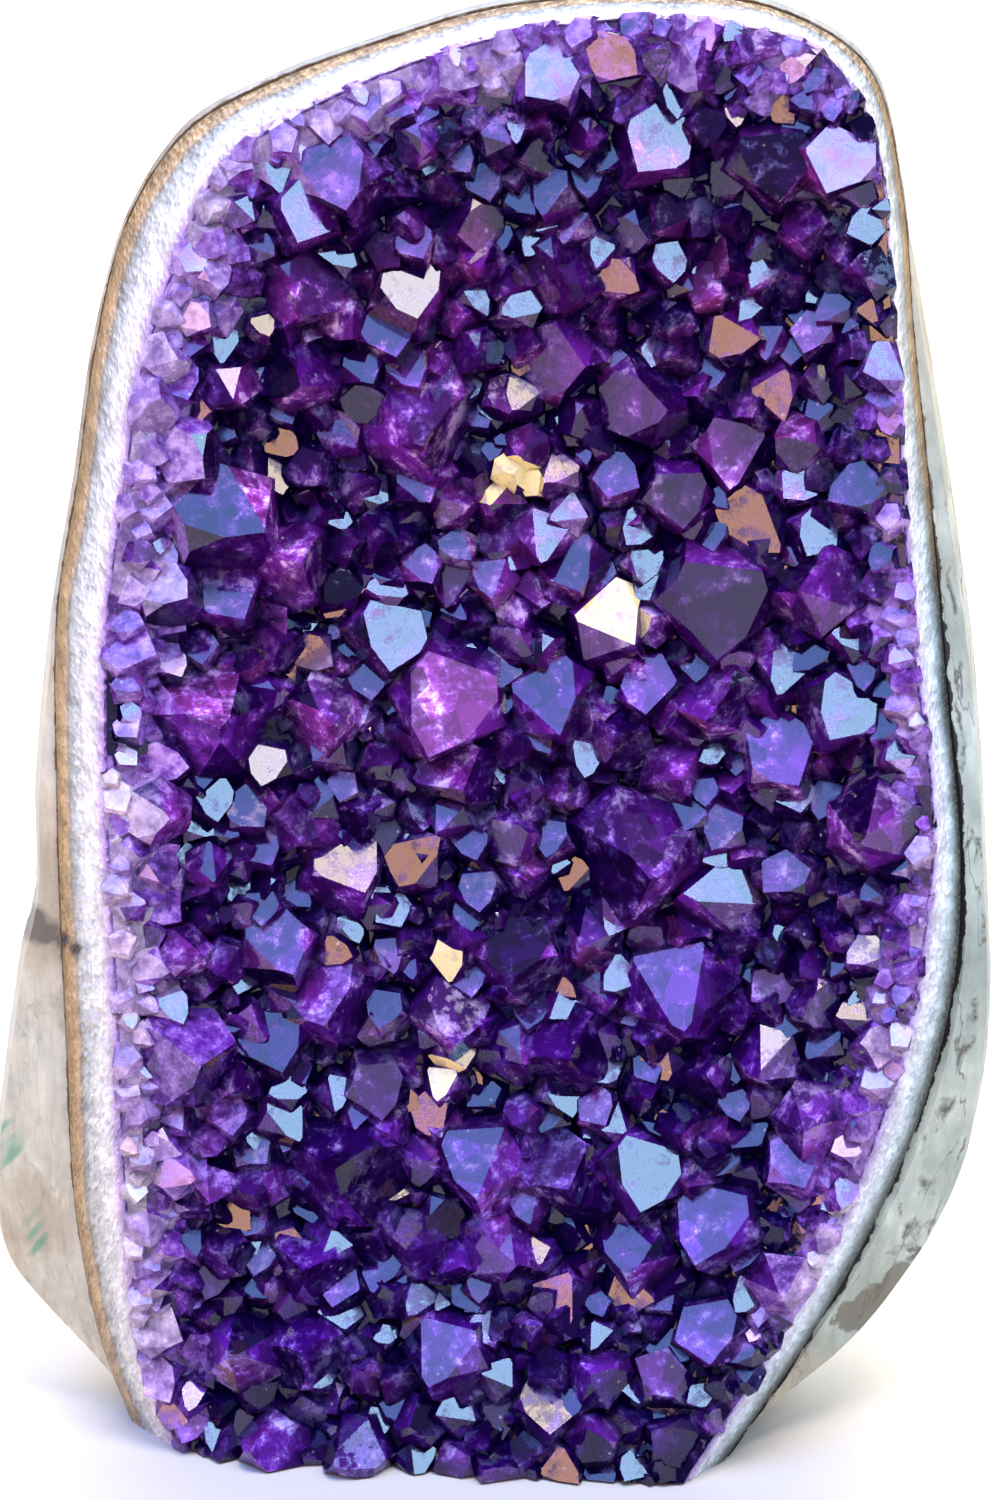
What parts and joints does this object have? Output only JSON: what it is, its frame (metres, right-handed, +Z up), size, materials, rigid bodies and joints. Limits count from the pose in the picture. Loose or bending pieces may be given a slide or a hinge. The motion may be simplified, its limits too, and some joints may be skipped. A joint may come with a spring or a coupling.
{
  "type": "amethyst cluster",
  "caption": "Upright amethyst geode piece: stone rind, white quartz lining and a crust of violet crystals, standing on a flat sawn base.",
  "frame": {"origin": "on the flat sawn base, under the middle of the piece's bounding box", "axes": "+Z up, -Y out of the crystal face towards the viewer, +X to the viewer's right"},
  "size_m": [0.1374, 0.0758, 0.197],
  "materials": {
    "rind_stone": "ground grey-beige basalt skin with brown stains, rough at the back",
    "white_quartz": "ground and polished white quartz with a thin tan agate edge",
    "amethyst": "clear violet crystal with glossy natural faces, paler at the rim"
  },
  "bodies": {
    "root": {"stone_rind": "rind_stone", "quartz_lining": "white_quartz", "amethyst_crust": "amethyst"}
  },
  "joints": []
}
